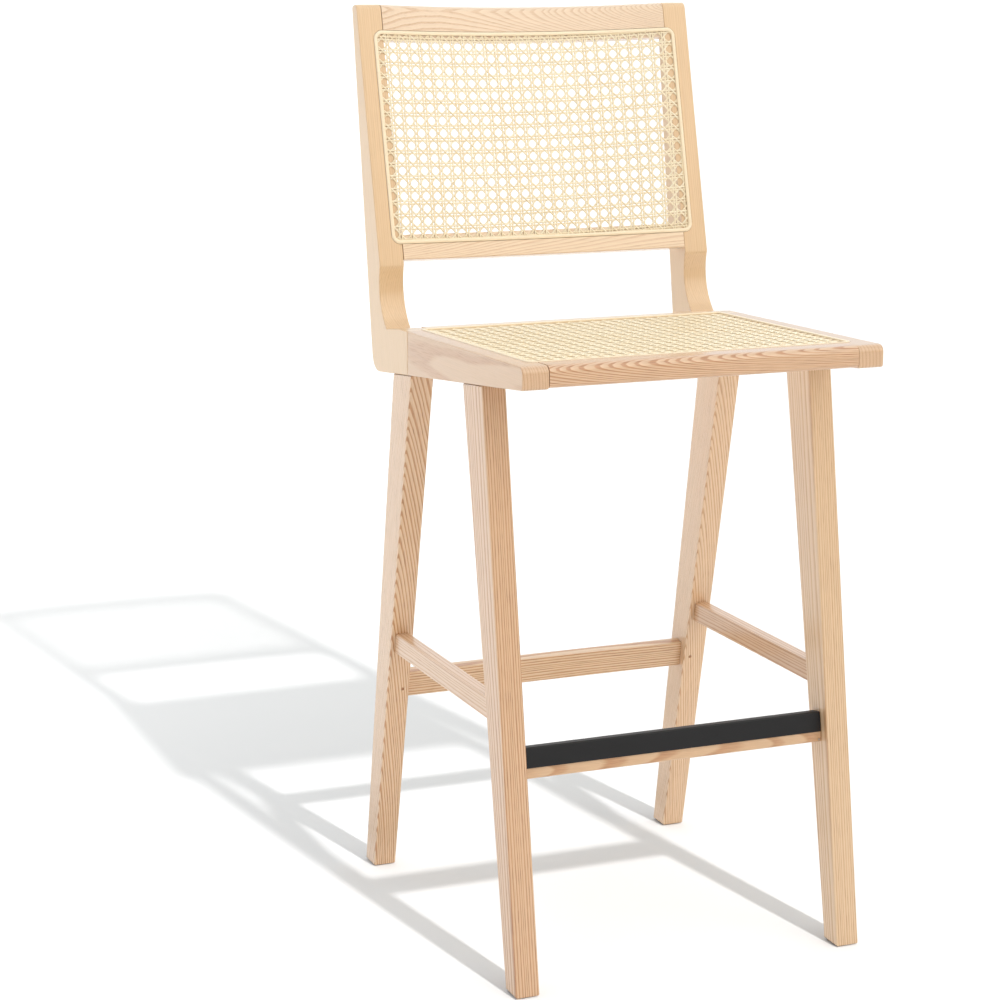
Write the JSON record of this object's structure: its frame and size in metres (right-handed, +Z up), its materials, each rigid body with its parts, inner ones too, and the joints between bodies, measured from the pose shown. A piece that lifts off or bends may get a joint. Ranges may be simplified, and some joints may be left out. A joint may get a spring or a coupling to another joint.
{
  "type": "bar stool",
  "caption": "Tall wooden bar stool with a curved cane back, a cane seat, splayed tapered legs joined by rungs, and a steel-plated footrest.",
  "frame": {"origin": "bottom centre of the bounding box: on the floor, midway between the seat's front face and the rearmost point of the bowed top rail", "axes": "+Z up; -Y is the front, the side the sitter's feet are on; +X is the sitter's left, on the right of a person who looks at the front"},
  "size_m": [0.4692, 0.5806, 1.147],
  "materials": {
    "ash": "pale ash, clear satin lacquer",
    "cane": "natural woven cane and reed",
    "plywood": "unfinished plywood",
    "dowel": "plain beech",
    "black_steel": "black powder coat, satin",
    "zinc": "zinc-plated steel",
    "glide": "dark nail-on plastic glide"
  },
  "bodies": {
    "root": {"back_bottom_rail": "ash", "back_cane_panel": "cane", "back_cane_spline": "cane", "back_post_left": "ash", "back_post_right": "ash", "back_top_rail": "ash", "block_screw_front_left": "zinc", "block_screw_front_right": "zinc", "block_screw_rear_left": "zinc", "block_screw_rear_right": "zinc", "brad_left": "zinc", "brad_right": "zinc", "corner_block_front_left": "plywood", "corner_block_front_right": "plywood", "corner_block_rear_left": "plywood", "corner_block_rear_right": "plywood", "footrest_plate": "black_steel", "front_rail_dowel_left_1": "dowel", "front_rail_dowel_left_2": "dowel", "front_rail_dowel_right_1": "dowel", "front_rail_dowel_right_2": "dowel", "front_rung": "ash", "glide_front_left": "glide", "glide_front_right": "glide", "glide_rear_left": "glide", "glide_rear_right": "glide", "leg_dowel_front_left_1": "dowel", "leg_dowel_front_left_2": "dowel", "leg_dowel_front_right_1": "dowel", "leg_dowel_front_right_2": "dowel", "leg_dowel_rear_left_1": "dowel", "leg_dowel_rear_left_2": "dowel", "leg_dowel_rear_right_1": "dowel", "leg_dowel_rear_right_2": "dowel", "leg_front_left": "ash", "leg_front_right": "ash", "leg_rear_left": "ash", "leg_rear_right": "ash", "plate_screw_1": "black_steel", "plate_screw_2": "black_steel", "plate_screw_3": "black_steel", "rear_rung": "ash", "rung_pin_left": "dowel", "rung_pin_right": "dowel", "seam_dowel_left_1": "dowel", "seam_dowel_left_2": "dowel", "seam_dowel_right_1": "dowel", "seam_dowel_right_2": "dowel", "seat_board": "plywood", "seat_cane_panel": "cane", "seat_cane_spline": "cane", "seat_front_rail": "ash", "seat_rear_rail": "ash", "seat_side_rail_left": "ash", "seat_side_rail_right": "ash", "side_rung_left": "ash", "side_rung_right": "ash"}
  },
  "joints": []
}
